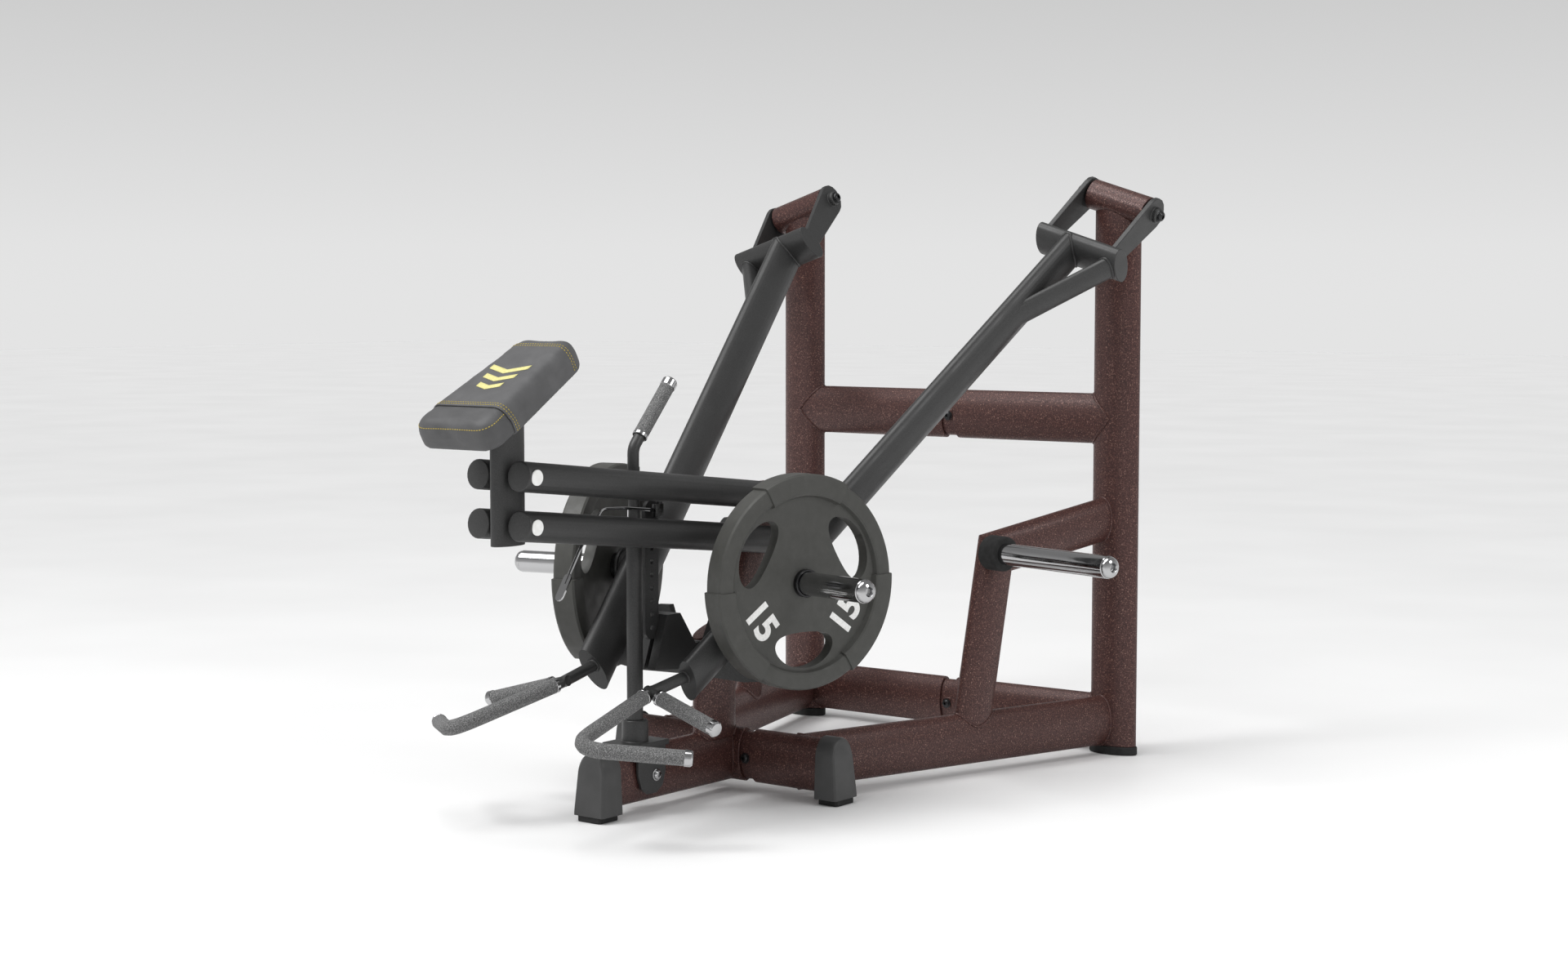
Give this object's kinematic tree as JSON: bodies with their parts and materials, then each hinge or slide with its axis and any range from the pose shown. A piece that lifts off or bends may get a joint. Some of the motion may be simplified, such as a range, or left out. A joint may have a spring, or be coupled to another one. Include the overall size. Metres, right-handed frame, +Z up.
{
  "type": "plate-loaded standing row machine",
  "caption": "Plate-loaded chest-supported standing row machine with two converging lever arms, adjustable chest pad on a link pair, stabilising post and plate storage horns.",
  "frame": {"origin": "centre of the machine's outline on the floor", "axes": "+Z up, +X to the right of a user facing the machine, who stands at -Y; the uprights stand at +Y"},
  "size_m": [1.5066, 1.8016, 1.3776],
  "materials": {
    "frame_coat": "fine textured powder coat, dark red-brown",
    "anthracite_coat": "matte powder coat, anthracite",
    "chrome": "polished",
    "grip_rubber": "stippled rubber grip",
    "plate_rubber": "moulded olive-grey rubber",
    "pad_cover": "grey stitched synthetic leather",
    "foot_cover": "moulded grey plastic",
    "foot_rubber": "black rubber"
  },
  "bodies": {
    "frame": {"cross_lower_left": "frame_coat", "cross_lower_right": "frame_coat", "cross_upper_left": "frame_coat", "cross_upper_right": "frame_coat", "front_centre": "frame_coat", "front_cross_left": "frame_coat", "front_cross_right": "frame_coat", "front_foot_left": "foot_cover", "front_foot_right": "foot_cover", "hub_left": "frame_coat", "hub_right": "frame_coat", "joint_bolt_front_left": "chrome", "joint_bolt_front_right": "chrome", "joint_bolt_lower": "chrome", "joint_bolt_upper": "chrome", "lock_strip": "anthracite_coat", "mast": "frame_coat", "nose_foot": "foot_cover", "rail_left": "frame_coat", "rail_right": "frame_coat", "saddle": "anthracite_coat", "saddle_bolt_left": "chrome", "saddle_bolt_right": "chrome", "stabiliser_grip": "grip_rubber", "stabiliser_post": "anthracite_coat", "stop_bracket": "anthracite_coat", "stop_rest_left": "foot_rubber", "stop_rest_right": "foot_rubber", "storage_bracket_left": "frame_coat", "storage_bracket_right": "frame_coat", "storage_horn_left": "chrome", "storage_horn_right": "chrome", "upright_foot_left": "foot_rubber", "upright_foot_right": "foot_rubber", "upright_left": "frame_coat", "upright_right": "frame_coat"},
    "arm_right": {"fork_right": "anthracite_coat", "lever_right": "anthracite_coat", "plate_horn_right": "chrome", "handle_right": "anthracite_coat", "grip_straight_right": "grip_rubber", "grip_bent_right": "grip_rubber"},
    "plate_right": {"weight_plate_right": "plate_rubber"},
    "arm_left": {"fork_left": "anthracite_coat", "lever_left": "anthracite_coat", "plate_horn_left": "chrome", "handle_left": "anthracite_coat", "grip_straight_left": "grip_rubber", "grip_bent_left": "grip_rubber"},
    "plate_left": {"weight_plate_left": "plate_rubber"},
    "links_upper": {"link_upper_right": "anthracite_coat", "link_upper_left": "anthracite_coat", "lock_pin": "chrome"},
    "links_lower": {"link_lower_right": "anthracite_coat", "link_lower_left": "anthracite_coat"},
    "pad_head": {"pad_carrier": "anthracite_coat", "pad_board": "anthracite_coat", "chest_pad": "pad_cover"},
    "release": {"release_lever": "chrome"}
  },
  "joints": [
    {"name": "arm_right_lift", "type": "hinge", "parent": "frame", "child": "arm_right", "pos_m": [0.464, 0.86254, 1.314], "axis": [-0.9542, 0, 0.299], "range_deg": [0, 35]},
    {"name": "arm_left_lift", "type": "hinge", "parent": "frame", "child": "arm_left", "pos_m": [-0.464, 0.86254, 1.314], "axis": [-0.9542, 0, -0.299], "range_deg": [0, 35]},
    {"name": "plate_right_slide", "type": "slide", "parent": "arm_right", "child": "plate_right", "axis": [0.9638, -0.2664, 0.0066], "range_m": [0, 0.18]},
    {"name": "plate_left_slide", "type": "slide", "parent": "arm_left", "child": "plate_left", "axis": [-0.9638, -0.2664, 0.0066], "range_m": [0, 0.18]},
    {"name": "pad_height", "type": "hinge", "parent": "frame", "child": "links_upper", "pos_m": [0, 0.10954, 0.645], "axis": [-1, 0, 0], "range_deg": [-14, 10]},
    {"name": "lower_links", "type": "hinge", "parent": "frame", "child": "links_lower", "pos_m": [0, 0.10954, 0.5465], "axis": [-1, 0, 0], "range_deg": [-14, 10]},
    {"name": "pad_level", "type": "hinge", "parent": "links_upper", "child": "pad_head", "pos_m": [0, -0.73746, 0.7382], "axis": [-1, 0, 0], "range_deg": [-10, 14]},
    {"name": "release_pull", "type": "hinge", "parent": "links_upper", "child": "release", "pos_m": [0, -0.42546, 0.65], "axis": [1, 0, 0], "range_deg": [0, 8], "stiffness_Nm_per_rad": 2, "springref_deg": -5.73}
  ],
  "couplings": [
    {"joint": "lower_links", "follows": "pad_height", "ratio": 1},
    {"joint": "pad_level", "follows": "pad_height", "ratio": -1}
  ]
}
